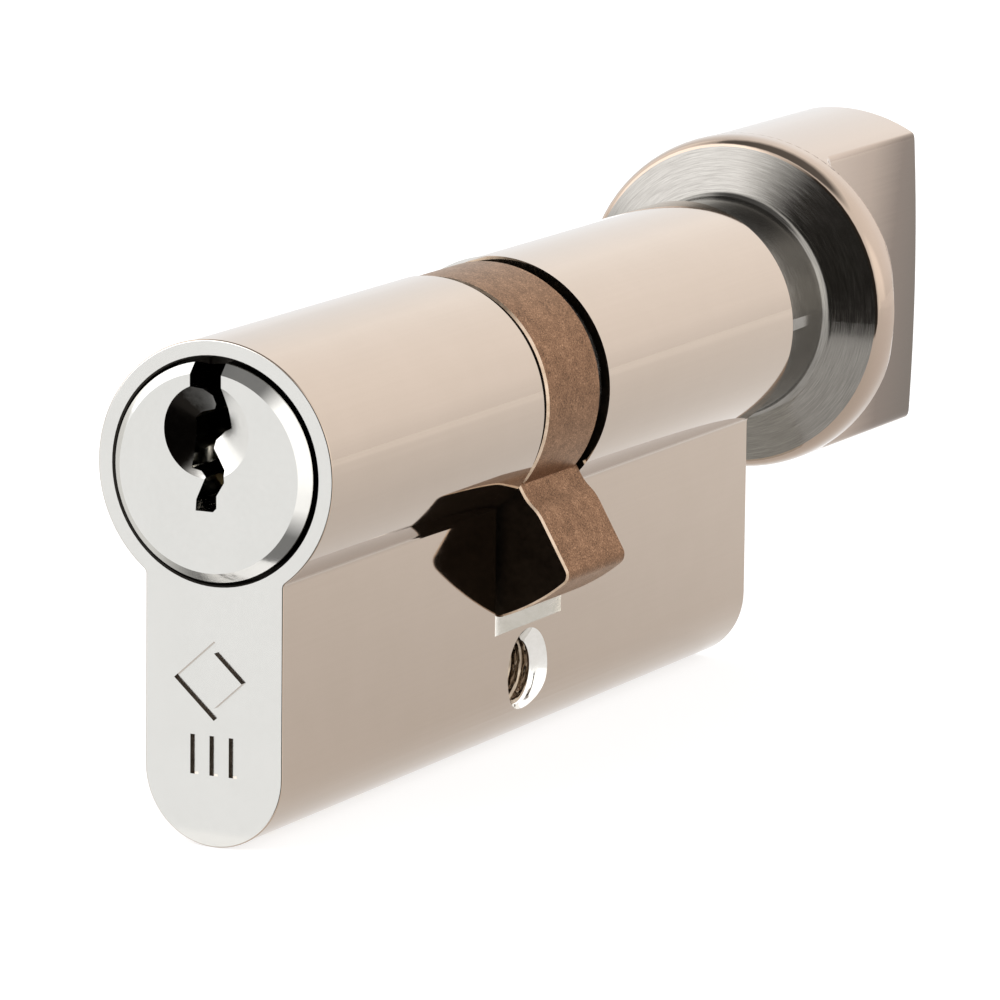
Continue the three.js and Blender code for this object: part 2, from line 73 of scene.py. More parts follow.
MARK_DEPTH = 0.3  # of the marks cut in the leg's face
LOZENGE_Z = -13.6
LOZENGE_OUTER = (2.9, 2.6)  # half width and half height
LOZENGE_INNER = (2.0, 1.8)
BAR_SPACING, BAR_HALF_WIDTH = 1.4, 0.3
BAR_FOOT_Z, BAR_TOP_Z = -19.8, -17.2

PLUG_R = 6.5
BORE_R = 6.65
FLANGE_R = 7.15
FLANGE_BORE_R = 7.36
FLANGE_DEPTH = 1.9
FLANGE_GAP = 0.15  # between the flange's back and its seat
PLUG_PROUD = 0.86
PLUG_FACE_R = 6.45
PLUG_CHAMFER_DEPTH = 0.66
PLUG_CHAMFER_EDGE = 0.03  # the chamfer's outer edge is eased by this much on the radius
PLUG_CHAMFER_EDGE_DEPTH = 0.08
KEYWAY_END_Y = -6.2
KEYWAY_TOP = FLANGE_R + PAST
LEAD_IN_X, LEAD_IN_Z = -0.15, 2.7
LEAD_IN_R = 3.05
LEAD_IN_DEPTH = 1.5
LEAD_IN_TIP_R = 0.02

FIRST_PIN_Y, PIN_PITCH, PIN_COUNT = -29.5, 4.0, 5
PIN_YS = [FIRST_PIN_Y + PIN_PITCH * i for i in range(PIN_COUNT)]
CHAMBER_R = 1.45
CHAMBER_TOPS_Z = [0.5, 1.4, 0.2, 1.7, 0.9]  # in the plug, one for each key pin's length
BODY_DRILL_X, BODY_DRILL_Y = 2.4, -32.2
BODY_DRILL_FOOT_Z, BODY_DRILL_TOP_Z = -23.21, -8.6  # the foot stays closed, as if the pin were ground flush
BODY_DRILL_R = 0.92
PLUG_DRILL_X, PLUG_DRILL_Y = 3.6, -30.9
PLUG_DRILL_R = 1.0

NECK_R = 5.4
NECK_START_Y = -5.05
NECK_END_Y = -0.9
CLIP_Y = 4.5
CLIP_GROOVE_R = 4.8
CLIP_GROOVE_HALF = 0.35
PUSH_HOLE_R = 1.3
PUSH_HOLE_LAP = 0.3  # how far the push hole runs into the end of the keyway
LAP = 0.1  # how far other cutters run into each other
RECESS_BACK_Y, RECESS_FRONT_Y, RECESS_R = -4.6, -2.9, 3.9
TONGUE_SLOT_HALF = 1.25

CAM_R = 8.3
CAM_HALF = 3.95
CAM_BORE_R = 5.6
CAM_BORE_CHAMFER = 0.1
CAM_CHAMFER = 0.16
LOBE_TIP_R = 15.25
LOBE_HALF_WIDTH = 3.35
LOBE_HALF_LENGTH = 4.4
LOBE_ROOT_R = 7.6
LOBE_CORNER = 0.8
LOBE_ANGLE = math.radians(-60)
LOBE_EDGE = 0.14
LOBE_NECK_HALF = 2.95  # the lobe is hollow on each side where it leaves the ring
LOBE_NECK_START_R, LOBE_NECK_END_R = 8.3, 10.6
DRIVE_SLOT_R = 6.75
DRIVE_SLOT_HALF = 1.2

KNOB_R = 12.2
HUB_R = 8.0
HUB_EDGE = 0.3  # round on the hub's end
KNOB_START_Y = 35.3
COLLAR_START_Y = 41.5
HUB_FILLET = 0.7
COLLAR_FACE_Y = 42.6
COLLAR_FACE_R = 11.5
RIM_Y = 44.4
SHOULDER_Y = 45.0
SHOULDER_ROUND = 0.6
PADDLE_HALF = 6.0
PADDLE_FILLET = 1.6  # hollow run-out of each flat into the shoulder
KNOB_END_Y = 63.0
KNOB_DOME_R = 80.0
KNOB_EDGE = 0.45
PADDLE_SOFTNESS = 0.45  # how far each corner of the paddle's outline is eased
PADDLE_DENSE = 1.4  # half the angle, in degrees, with closer points at each of those corners
LEAST_CORNER = 2.0  # the smallest angle, in degrees, that a corner's points may take up
SHAFT_BORE_R = 4.15
SHAFT_MOUTH_CHAMFER = 0.2
SHAFT_BORE_END_Y = 52.5
GRUB_Y = 38.0
GRUB_HOLE_R = 1.3
GRUB_HOLE_LAP = 0.5  # how far the grub screw's hole runs into the shaft's bore

FLOOR_REACH = 1500.0
FLOOR_FRONT_Y = -38.5
SOFTBOX_PLACE = (-700, 60, 450)
SOFTBOX_SIZE = 800
CAMERA_PLACE = (223.75, -441.87, 85.88)
CAMERA_AZIMUTH, CAMERA_ELEVATION, CAMERA_ROLL = 26.57, 10.68, 0.64  # in degrees
CAMERA_LENS, CAMERA_SENSOR = 267.6, 36.0  # a long lens, from half a metre away

# ---------------------------------------------------------------------------------------------------------
# Mesh building


def blend_curve(start, end, bend, steps):
    """Points on a curve from start to end that leaves and arrives along the first axis, through bend."""
    made = []
    for i in range(steps + 1):
        t = i / steps
        side = t * t * (3 - 2 * t)
        first = (1 - t) ** 3 * start[0] + 3 * t * (1 - t) * bend + t**3 * end[0]
        made.append((first, start[1] + (end[1] - start[1]) * side))
    return made


def arc(x, z, r, start, end, steps):
    """Points on an arc about (x, z), from start to end in degrees, both ends included."""
    angles = [math.radians(start + (end - start) * i / steps) for i in range(steps + 1)]
    return [(x + r * math.cos(a), z + r * math.sin(a)) for a in angles]


def skin(name, loops, ring=False):
    """A closed surface through loops of points. Its ends are capped, or joined to each other for a ring."""
    count, rows = len(loops[0]), len(loops)
    faces = []
    for i in range(rows if ring else rows - 1):
        a, b = i * count, (i + 1) % rows * count
        faces += [(a + j, a + (j + 1) % count, b + (j + 1) % count, b + j) for j in range(count)]
    if not ring:
        faces += [tuple(range(count)), tuple(range((rows - 1) * count, rows * count))]
    mesh = bpy.data.meshes.new(name)
    mesh.from_pydata([p for loop in loops for p in loop], [], faces)
    shape = bmesh.new()
    shape.from_mesh(mesh)
    bmesh.ops.recalc_face_normals(shape, faces=shape.faces)
    shape.to_mesh(mesh)
    shape.free()
    obj = bpy.data.objects.new(name, mesh)
    bpy.context.scene.collection.objects.link(obj)
    return obj


def along_y(name, sections):
    """A skin through outlines drawn in (x, z), each at its y: [(y, outline), ...]."""
    return skin(name, [[(x, y, z) for x, z in outline] for y, outline in sections])


def turned(name, profile, sides=96, x=0.0, z=0.0):
    """A solid turned about a line along Y, from (radius, y) corners off the axis."""
    return along_y(name, [(y, arc(x, z, r, 0, 360 - 360 / sides, sides - 1)) for r, y in profile])


def upright(name, r, z0, z1, x, y, sides=32):
    """A round rod along Z."""
    ring = arc(x, y, r, 0, 360 - 360 / sides, sides - 1)
    return skin(name, [[(u, v, z) for u, v in ring] for z in (z0, z1)])


def block(name, x0, x1, y0, y1, z0, z1):
    """A box between two corners."""
    corners = [(x0, z0), (x1, z0), (x1, z1), (x0, z1)]
    return along_y(name, [(y0, corners), (y1, corners)])


def combine(obj, other, operation="DIFFERENCE"):
    """Cuts other out of obj, or joins it on, and uses it up."""
    step = obj.modifiers.new(operation, "BOOLEAN")
    step.operation, step.object, step.solver = operation, other, "EXACT"
    graph = bpy.context.evaluated_depsgraph_get()
    made = bpy.data.meshes.new_from_object(obj.evaluated_get(graph))
    obj.modifiers.clear()
    obj.data, old = made, obj.data
    bpy.data.meshes.remove(old)
    bpy.data.objects.remove(other)


def finish_piece(obj, node, body, materials, pick=None, crease=28.0):
    """Scales the mesh to metres, shades it and puts it in the CAD node's place. pick(centre, normal) gives
    the index of a face's material, and edges sharper than crease degrees stay sharp."""
    mesh = obj.data
    mesh.materials.clear()
    for material in materials:
        mesh.materials.append(material)
    for face in mesh.polygons:
        face.use_smooth = True
        face.material_index = pick(face.center, face.normal) if pick else 0
    shape = bmesh.new()
    shape.from_mesh(mesh)
    bmesh.ops.remove_doubles(shape, verts=shape.verts, dist=1e-5)
    for edge in shape.edges:
        edge.smooth = len(edge.link_faces) == 2 and edge.calc_face_angle(0.0) < math.radians(crease)
    bmesh.ops.scale(shape, vec=(MM, MM, MM), verts=shape.verts)
    shape.to_mesh(mesh)
    shape.free()
    weighted = obj.modifiers.new("even shading", "WEIGHTED_NORMAL")
    weighted.keep_sharp = True
    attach(obj, body)
    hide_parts(node)


# ---------------------------------------------------------------------------------------------------------
# Materials


def new_material(name):
    """A fresh material, its node tree and its surface shader."""
    made = bpy.data.materials.new(name)
    made.use_nodes = True
    return made, made.node_tree, made.node_tree.nodes["Principled BSDF"]


def add(tree, kind, inputs, **settings):
    """A shader node. inputs maps a socket to a value or to the output that feeds it."""
    node = tree.nodes.new("ShaderNode" + kind)
    for key, value in settings.items():
        setattr(node, key, value)
    for key, value in inputs.items():
        if isinstance(value, bpy.types.NodeSocket):
            tree.links.new(value, node.inputs[key])
        else:
            node.inputs[key].default_value = value
    return node


def calculate(tree, operation, *values):
    """A sum or other operation on one or two values."""
    return add(tree, "Math", dict(enumerate(values)), operation=operation).outputs[0]


def vector_math(tree, operation, *values):
    """The same on vectors. A length or a distance comes out as a plain value."""
    node = add(tree, "VectorMath", dict(enumerate(values)), operation=operation)
    return node.outputs["Value" if operation in ("LENGTH", "DISTANCE") else "Vector"]


def coordinates(tree, kind):
    """Texture coordinates of one kind, such as Object or Normal."""
    return add(tree, "TexCoord", {}).outputs[kind]


def parts_of(tree, vector):
    """A vector's X, Y and Z as outputs."""
    return add(tree, "SeparateXYZ", {"Vector": vector}).outputs


def place(tree, scale):
    """The object's own coordinates, multiplied by scale per metre on each axis."""
    return add(tree, "Mapping", {"Vector": coordinates(tree, "Object"), "Scale": scale}).outputs["Vector"]


def noise(tree, vector, scale=1.0, detail=4.0, roughness=0.6):
    """Smooth noise in vector's space, with scale marks to a unit."""
    inputs = {"Vector": vector, "Scale": scale, "Detail": detail, "Roughness": roughness}
    return add(tree, "TexNoise", inputs).outputs["Fac"]


def ramp(tree, fac, stops):
    """A colour ramp: stops are (position, colour)."""
    node = add(tree, "ValToRGB", {"Fac": fac})
    elements = node.color_ramp.elements
    while len(elements) < len(stops):
        elements.new(0.5)
    for element, (position, colour) in zip(elements, stops):
        element.position, element.color = position, (*colour, 1.0)
    return node.outputs["Color"]


def spread(tree, value, low, high, from_low=0.3, from_high=0.7):
    """Maps from_low..from_high onto low..high. What noise gives lies mostly between 0.3 and 0.7."""
    inputs = {"Value": value, "From Min": from_low, "From Max": from_high, "To Min": low, "To Max": high}
    return add(tree, "MapRange", inputs).outputs["Result"]


def bump(tree, height, depth, normal=None):
    """Relief of the given depth in millimetres."""
    inputs = {"Height": height, "Distance": depth * MM, "Strength": 1.0}
    if normal:
        inputs["Normal"] = normal
    return add(tree, "Bump", inputs).outputs["Normal"]


def wire_metal(tree, shader, colour, roughness, normal):
    """Feeds the three sockets of a fully metallic surface."""
    tree.links.new(colour, shader.inputs["Base Color"])
    tree.links.new(roughness, shader.inputs["Roughness"])
    tree.links.new(normal, shader.inputs["Normal"])
    shader.inputs["Metallic"].default_value = 1.0


def metal(name, light, dark, rough, grain, relief):
    """A worked metal whose colour and roughness follow a directional grain and a slow cloud over it.
    rough is (lowest, highest), grain is the number of marks per metre on each axis."""
    made, tree, shader = new_material(name)
    lines = noise(tree, place(tree, grain), detail=3.0)
    cloud = noise(tree, place(tree, CLOUDY), detail=2.0)
    blend = calculate(tree, "ADD", lines, cloud)
    colour = ramp(tree, spread(tree, blend, 0, 1, 0.75, 1.25), [(0, dark), (1, light)])
    roughness = spread(tree, blend, rough[0], rough[1], 0.75, 1.25)
    wire_metal(tree, shader, colour, roughness, bump(tree, lines, relief))
    return made


ALL_WAYS = (2200, 2200, 2200)
LENGTHWISE = (3800, 60, 3800)
CLOUDY = (260, 260, 260)
SATIN_LIGHT, SATIN_DARK = (0.74, 0.725, 0.69), (0.72, 0.705, 0.67)

barrel_nickel = metal(
    "polished nickel", (0.42, 0.34, 0.275), (0.41, 0.332, 0.267), (0.035, 0.055), LENGTHWISE, 0.00003)
face_nickel = metal("satin nickel", SATIN_LIGHT, SATIN_DARK, (0.16, 0.2), ALL_WAYS, 0.0002)
plug_nickel = metal("plug nickel", SATIN_LIGHT, SATIN_DARK, (0.07, 0.11), ALL_WAYS, 0.0002)
slot_nickel = metal(
    "milled nickel", (0.76, 0.74, 0.71), (0.7, 0.68, 0.64), (0.06, 0.1), ALL_WAYS, 0.0002)
thread_nickel = metal(
    "thread nickel", (0.42, 0.35, 0.27), (0.26, 0.2, 0.15), (0.08, 0.14), ALL_WAYS, 0.0003)
bore_metal = metal(
    "dark bore", (0.05, 0.045, 0.04), (0.03, 0.027, 0.024), (0.35, 0.5), ALL_WAYS, 0.0006)
brass = metal(
    "machined brass", (0.75, 0.56, 0.27), (0.62, 0.45, 0.2), (0.22, 0.34), ALL_WAYS, 0.0006)
steel = metal(
    "hardened steel", (0.46, 0.46, 0.47), (0.34, 0.34, 0.35), (0.25, 0.4), ALL_WAYS, 0.0006)
wire = metal(
    "spring wire", (0.62, 0.62, 0.63), (0.5, 0.5, 0.51), (0.2, 0.3), ALL_WAYS, 0.0004)
# Painted shade: the cam's faces across the barrel's axis are near-black, standing in for the shade they sit
# in within the slot.
painted_shade_bronze = metal(
    "bronze with painted shade", (0.03, 0.022, 0.016), (0.02, 0.015, 0.011), (0.4, 0.55), ALL_WAYS, 0.0015)
# Painted highlight: the cam's chamfers are a light bronze that stands in for their glint.
painted_highlight_bronze = metal(
    "bronze edge with painted highlight", (0.6, 0.47, 0.36), (0.4, 0.29, 0.2), (0.2, 0.32), ALL_WAYS, 0.001)


def make_lead_in_nickel():
    """The lead-in cone, with painted reflection and shade: bright on the right, where its faces turn away
    from +X, and near-black on the left, where they turn towards it.
    """
    made, tree, shader = new_material("lead-in nickel")
    facing = parts_of(tree, coordinates(tree, "Normal"))["X"]
    grain = noise(tree, place(tree, ALL_WAYS), detail=3.0)
    # painted reflection: the more a face turns towards +X the darker it is, with a little grain mixed in
    painted_reflection_mask = calculate(tree, "ADD", facing, spread(tree, grain, -0.05, 0.05))
    share = spread(tree, painted_reflection_mask, 1, 0, -0.25, 0.3)
    colour = ramp(tree, share, [(0, (0.03, 0.026, 0.022)), (1, (0.72, 0.7, 0.66))])
    wire_metal(tree, shader, colour, spread(tree, grain, 0.12, 0.2), bump(tree, grain, 0.0003))
    return made


def make_knob_nickel():
    """Polished nickel, with painted shade on the two flats: they darken towards the knob's end and towards
    the bottom.
    """
    made, tree, shader = new_material("knob nickel")
    sideways = calculate(tree, "ABSOLUTE", parts_of(tree, coordinates(tree, "Normal"))["X"])
    where = parts_of(tree, coordinates(tree, "Object"))
    reach = spread(tree, where["Y"], 0, 1, SHOULDER_Y * MM, KNOB_END_Y * MM)
    low = spread(tree, where["Z"], 0.15, -0.15, -KNOB_R * MM, KNOB_R * MM)
    grain = noise(tree, place(tree, LENGTHWISE), detail=3.0)
    # painted shade on the flats, darker towards the knob's end and towards the bottom, with a little grain
    painted_shade_amount = calculate(tree, "ADD", reach, low)
    painted_shade_amount = calculate(tree, "ADD", painted_shade_amount, spread(tree, grain, -0.015, 0.015))
    painted_shade_colour = ramp(tree, painted_shade_amount, [
        (0.0, (0.4, 0.315, 0.255)), (0.4, (0.3, 0.23, 0.18)),
        (0.7, (0.14, 0.1, 0.075)), (1.0, (0.1, 0.074, 0.054)),
    ])
    mix = add(tree, "Mix", {"Factor": spread(tree, sideways, 0, 1, 0.6, 0.97)}, data_type="RGBA")
    mix.inputs["A"].default_value = (0.38, 0.3, 0.24, 1.0)
    tree.links.new(painted_shade_colour, mix.inputs["B"])
    roughness = spread(tree, grain, 0.07, 0.1)
    wire_metal(tree, shader, mix.outputs["Result"], roughness, bump(tree, grain, 0.00005))
    return made


def make_turned_nickel():
    """Nickel with fine concentric tool marks about the barrel's axis."""
    made, tree, shader = new_material("turned nickel")
    where = parts_of(tree, coordinates(tree, "Object"))
    squares = [calculate(tree, "POWER", where[axis], 2.0) for axis in ("X", "Z")]
    radius = calculate(tree, "SQRT", calculate(tree, "ADD", *squares))
    turn = calculate(tree, "ARCTAN2", where["Z"], where["X"])
    stretched = calculate(tree, "MULTIPLY", turn, 0.0004)
    marks = add(tree, "CombineXYZ", {"X": radius, "Y": stretched, "Z": where["Y"]}).outputs[0]
    lines = noise(tree, marks, 14000.0, 3.0, 0.6)
    colour = ramp(tree, lines, [(0.3, (0.19, 0.178, 0.162)), (0.7, (0.29, 0.275, 0.252))])
    wire_metal(tree, shader, colour, spread(tree, lines, 0.12, 0.22), bump(tree, lines, 0.0005))
    return made


def make_bronze():
    """Sintered bronze: brown metal grains with dark pores between them, in lighter and darker patches."""
    made, tree, shader = new_material("sintered bronze")
    where = place(tree, (1000, 1000, 1000))
    grains = add(tree, "TexVoronoi", {"Vector": where, "Scale": 11.0}, feature="F1").outputs["Distance"]
    pores = noise(tree, where, 9.0, 4.0, 0.65)
    patches = noise(tree, where, 0.9, 3.0)
    mixed = calculate(tree, "ADD", pores, spread(tree, patches, -0.06, 0.05))
    colour = ramp(tree, mixed, [
        (0.32, (0.05, 0.022, 0.011)), (0.45, (0.13, 0.063, 0.033)),
        (0.56, (0.19, 0.096, 0.052)), (0.7, (0.36, 0.21, 0.125)),
    ])
    relief = bump(tree, mixed, 0.0014, bump(tree, grains, 0.0006))
    wire_metal(tree, shader, colour, spread(tree, mixed, 0.42, 0.3), relief)
    shader.inputs["Specular Tint"].default_value = (1.0, 0.9, 0.8, 1.0)
    return made


# ---------------------------------------------------------------------------------------------------------
# Body


def euro_outline(inset=0.0):
    """The body's outline in (x, z), all of it moved inwards by inset."""
    reach = BARREL_R + ROOT_FILLET
    x = LEG_R + ROOT_FILLET
    z = -math.sqrt(reach**2 - x**2)
    meet = math.degrees(math.atan2(z, x))
    fillet = ROOT_FILLET + inset
    outline = arc(0, LEG_ROUND_Z, LEG_R - inset, 180, 360, 32)
    outline += arc(x, z, fillet, 180, 180 + meet, 5)
    outline += arc(0, 0, BARREL_R - inset, meet, 180 - meet, 96)[1:]
    return outline + arc(-x, z, fillet, -meet, 0, 5)[1:]


def screw_cutter():
    """The fixing-screw hole across the leg: a helical thread between two countersunk mouths."""
    sides, steps = 48, 10
    reach = LEG_R + PAST
    slope = (SCREW_MOUTH_R - SCREW_R) / SCREW_MOUTH_DEPTH
    loops = []
    count = round(2 * reach / THREAD_PITCH * steps)
    for i in range(count + 1):
        x = -reach + i * THREAD_PITCH / steps
        loop = []
        for j in range(sides):
            turn = (x / THREAD_PITCH - j / sides) % 1
            ridge = THREAD_DEPTH * max(0, 1 - abs(2 * turn - 1) / THREAD_GROOVE)
            mouth = SCREW_MOUTH_R + slope * (abs(x) - LEG_R)
            r = max(SCREW_R + ridge, mouth)
            angle = 2 * math.pi * j / sides
            loop.append((x, r * math.cos(angle), SCREW_Z + r * math.sin(angle)))
        loops.append(loop)
    return skin("screw hole", loops)


def lozenge(half_width, half_height):
    """The four corners of a lozenge on the leg's face, in (x, z)."""
    return [
        (0, LOZENGE_Z - half_height), (half_width, LOZENGE_Z),
        (0, LOZENGE_Z + half_height), (-half_width, LOZENGE_Z),
    ]


def engrave(body):
    """A plain lozenge over three short bars, cut in the face of the leg."""
    front, back = -HALF_LENGTH - PAST, -HALF_LENGTH + MARK_DEPTH
    outer, inner = lozenge(*LOZENGE_OUTER), lozenge(*LOZENGE_INNER)
    rows = [(front, outer), (back, outer), (back, inner), (front, inner)]
    loops = [[(x, y, z) for x, z in outline] for y, outline in rows]
    combine(body, skin("lozenge", loops, ring=True))
    for x in (-BAR_SPACING, 0.0, BAR_SPACING):
        sides = x - BAR_HALF_WIDTH, x + BAR_HALF_WIDTH
        combine(body, block("bar", *sides, front, back, BAR_FOOT_Z, BAR_TOP_Z))


def make_body():
    edge = []  # (y, inset) round the keyed end's edge, from the face inwards
    for i in range(5):
        turn = math.radians(90 * i / 4)
        edge.append((-HALF_LENGTH + END_ROUND * (1 - math.cos(turn)), END_ROUND * (1 - math.sin(turn))))
    sections = [(y, euro_outline(inset)) for y, inset in edge]
    sections += [(-y, euro_outline(inset)) for y, inset in reversed(edge)]
    body = along_y("cylinder_body_shell", sections)

    mouth = FLANGE_BORE_R + MOUTH_CHAMFER + PAST
    half_bore = [(mouth, HALF_LENGTH + PAST), (FLANGE_BORE_R, HALF_LENGTH - MOUTH_CHAMFER)]
    half_bore += [(FLANGE_BORE_R, HALF_LENGTH - FLANGE_DEPTH), (BORE_R, HALF_LENGTH - FLANGE_DEPTH)]
    bore = [(r, -y) for r, y in half_bore] + half_bore[::-1]
    combine(body, turned("bore", bore))
    beyond = BARREL_R + PAST
    combine(body, block("slot", -beyond, beyond, -SLOT_HALF, SLOT_HALF, SLOT_FLOOR_Z, beyond))
    combine(body, screw_cutter())
    for y in PIN_YS:
        combine(body, upright("chamber", CHAMBER_R, LEG_FOOT_Z - PAST, -PLUG_R + PAST, 0, y))
    for x in (-BODY_DRILL_X, BODY_DRILL_X):
        ends = BODY_DRILL_FOOT_Z, BODY_DRILL_TOP_Z
        combine(body, upright("drilling", BODY_DRILL_R, *ends, x, BODY_DRILL_Y))
    engrave(body)
    return body


body_metals = [barrel_nickel, face_nickel, slot_nickel, bore_metal, thread_nickel]
OUTSIDE, END_FACE, MILLED, IN_BORE, ON_THREAD = range(len(body_metals))


def body_finish(centre, normal):
    """The two end faces are satin, the slot and the screw hole are milled and the bores are left dark."""
    if abs(normal.y) > 0.9 and abs(centre.y) > HALF_LENGTH - MARK_DEPTH:
        return END_FACE
    in_bore = math.hypot(centre.x, centre.z) < FLANGE_BORE_R + MOUTH_CHAMFER
    if in_bore and abs(centre.y) > SLOT_HALF + NEAR:
        return IN_BORE
    in_slot = abs(centre.y) < SLOT_HALF + NEAR and centre.z > SLOT_FLOOR_Z - NEAR
    across = Vector((0, centre.y, centre.z - SCREW_Z))
    faces_in = abs(normal.x) < 0.99 and across.dot(normal) < 0
    in_screw_hole = across.length < SCREW_MOUTH_R + NEAR and faces_in
    if in_screw_hole and abs(centre.x) < LEG_R - SCREW_MOUTH_DEPTH:
        return ON_THREAD
    return MILLED if in_slot or in_screw_hole else OUTSIDE


finish_piece(make_body(), "body", "cylinder_body", body_metals, body_finish)

# ---------------------------------------------------------------------------------------------------------
# Key plug


def keyway_outline():
    """The keyway's warded section in (x, z), open at the top of the plug."""
    return [
        (0.9, KEYWAY_TOP), (0.9, 5.6), (1.15, 4.2), (1.25, 2.9), (0.6, 2.6), (-0.05, 2.0), (-0.1, 1.5),
        (0.5, 0.9), (1.1, 0.3), (1.15, -0.5), (0.6, -1.4), (0.6, -2.2), (0.35, -2.45), (-0.9, -2.45),
        (-0.85, -1.7), (-0.45, -0.8), (-0.2, -0.25), (-0.6, 0.1), (-1.3, 0.25), (-1.35, 3.4), (-0.9, 3.8),
        (0.0, 4.05), (0.2, 4.4), (0.1, 5.0), (-0.5, 5.4), (-1.35, 5.5), (-1.35, KEYWAY_TOP),
    ]


def make_key_plug():
    face = -HALF_LENGTH - PLUG_PROUD
    chamfer_end = face + PLUG_CHAMFER_DEPTH
    flange = -HALF_LENGTH + FLANGE_DEPTH - FLANGE_GAP
    groove = [-CLIP_Y - CLIP_GROOVE_HALF, -CLIP_Y + CLIP_GROOVE_HALF]
    plug = turned("key_plug_turned", [
        (PLUG_FACE_R, face), (FLANGE_R - PLUG_CHAMFER_EDGE, chamfer_end),
        (FLANGE_R, chamfer_end + PLUG_CHAMFER_EDGE_DEPTH), (FLANGE_R, flange),
        (PLUG_R, flange), (PLUG_R, NECK_START_Y), (NECK_R, NECK_START_Y), (NECK_R, groove[0]),
        (CLIP_GROOVE_R, groove[0]), (CLIP_GROOVE_R, groove[1]), (NECK_R, groove[1]), (NECK_R, NECK_END_Y),
    ])
    keyway = keyway_outline()
    combine(plug, along_y("keyway", [(face - PAST, keyway), (KEYWAY_END_Y, keyway)]))
    past = LEAD_IN_R * PAST / LEAD_IN_DEPTH
    cone = [(LEAD_IN_R + past, face - PAST), (LEAD_IN_TIP_R, face + LEAD_IN_DEPTH)]
    combine(plug, turned("lead-in", cone, 64, LEAD_IN_X, LEAD_IN_Z))
    for y, top in zip(PIN_YS, CHAMBER_TOPS_Z):
        combine(plug, upright("chamber", CHAMBER_R, -PLUG_R - PAST, top, 0, y))
    for x in (-PLUG_DRILL_X, PLUG_DRILL_X):
        combine(plug, upright("drilling", PLUG_DRILL_R, -PLUG_R, PLUG_R, x, PLUG_DRILL_Y))
    push_hole = [(PUSH_HOLE_R, KEYWAY_END_Y - PUSH_HOLE_LAP), (PUSH_HOLE_R, RECESS_BACK_Y + LAP)]
    combine(plug, turned("push hole", push_hole, 32))
    combine(plug, turned("recess", [(RECESS_R, RECESS_BACK_Y), (RECESS_R, RECESS_FRONT_Y)]))
    ends = RECESS_FRONT_Y - LAP, NECK_END_Y + PAST
    combine(plug, block("tongue slot", -RECESS_R, RECESS_R, *ends, -TONGUE_SLOT_HALF, TONGUE_SLOT_HALF))
    return plug


LEAD_IN_NORMAL_Y = -LEAD_IN_R / math.hypot(LEAD_IN_R, LEAD_IN_DEPTH)
plug_metals = [plug_nickel, make_lead_in_nickel()]
PLUG_OUTSIDE, ON_CONE = range(len(plug_metals))


def plug_finish(centre, normal):
    """The lead-in cone has a finish of its own. Its faces are the only ones with that slope."""
    return ON_CONE if abs(normal.y - LEAD_IN_NORMAL_Y) < NEAR else PLUG_OUTSIDE


key_plug = make_key_plug()
finish_piece(key_plug, "key_plug", "key_side_plug", plug_metals, plug_finish, 16.0)

# ---------------------------------------------------------------------------------------------------------
# Cam


def lobe_outline(inset=0.0):
    """The lobe's outline, pointing along +X, moved inwards by inset."""
    half = LOBE_HALF_WIDTH
    inner = LOBE_TIP_R - LOBE_CORNER
    side = math.sqrt(inner**2 - (half - LOBE_CORNER) ** 2)
    spread_angle = math.degrees(math.atan2(half - LOBE_CORNER, side))
    corner = LOBE_CORNER - inset
    neck = LOBE_NECK_HALF
    bend = (LOBE_NECK_START_R + LOBE_NECK_END_R) / 2
    hollow = blend_curve((LOBE_NECK_START_R, neck - inset), (LOBE_NECK_END_R, half - inset), bend, 8)
    outline = [(LOBE_ROOT_R, inset - neck)] + [(r, -w) for r, w in hollow]
    outline += arc(side, LOBE_CORNER - half, corner, -90, -spread_angle, 6)
    outline += arc(0, 0, LOBE_TIP_R - inset, -spread_angle, spread_angle, 12)[1:-1]
    outline += arc(side, half - LOBE_CORNER, corner, spread_angle, 90, 6)
    return outline + hollow[::-1] + [(LOBE_ROOT_R, neck - inset)]


def rotated(outline, angle):
    """An outline turned about the barrel's axis."""
    c, s = math.cos(angle), math.sin(angle)
    return [(c * x - s * z, s * x + c * z) for x, z in outline]


def make_cam():
    ring = turned("cam_ring_and_lobe", [
        (CAM_R - CAM_CHAMFER, -CAM_HALF), (CAM_R, CAM_CHAMFER - CAM_HALF),
        (CAM_R, CAM_HALF - CAM_CHAMFER), (CAM_R - CAM_CHAMFER, CAM_HALF),
    ], 128)
    stations = [(-LOBE_HALF_LENGTH, LOBE_EDGE), (LOBE_EDGE - LOBE_HALF_LENGTH, 0)]
    stations += [(-y, inset) for y, inset in reversed(stations)]
    lobe = along_y("lobe", [(y, rotated(lobe_outline(inset), LOBE_ANGLE)) for y, inset in stations])
    combine(ring, lobe, "UNION")
    bore_end = CAM_BORE_CHAMFER - CAM_HALF
    bore = [(CAM_BORE_R + PAST, bore_end - PAST), (CAM_BORE_R, bore_end)]
    bore += [(r, -y) for r, y in reversed(bore)]
    combine(ring, turned("cam bore", bore))
    slot = [-DRIVE_SLOT_R, DRIVE_SLOT_R, -SLOT_HALF, SLOT_HALF, -DRIVE_SLOT_HALF, DRIVE_SLOT_HALF]
    combine(ring, block("drive slot", *slot))
    return ring


# Rim bronze, then the sides with painted shade and the chamfers with a painted highlight.
cam_metals = [make_bronze(), painted_shade_bronze, painted_highlight_bronze]
RIM, SIDE, PAINTED_HIGHLIGHT_EDGE = range(len(cam_metals))


def cam_finish(centre, normal):
    """The faces along the barrel are black as painted shade, and the chamfered edges round them are light as
    a painted highlight.
    """
    if abs(normal.y) > 0.9:
        return SIDE
    return PAINTED_HIGHLIGHT_EDGE if abs(abs(normal.y) - math.sqrt(0.5)) < 0.05 else RIM


finish_piece(make_cam(), "cam", "cam_ring", cam_metals, cam_finish)

# ---------------------------------------------------------------------------------------------------------
# Thumbturn knob


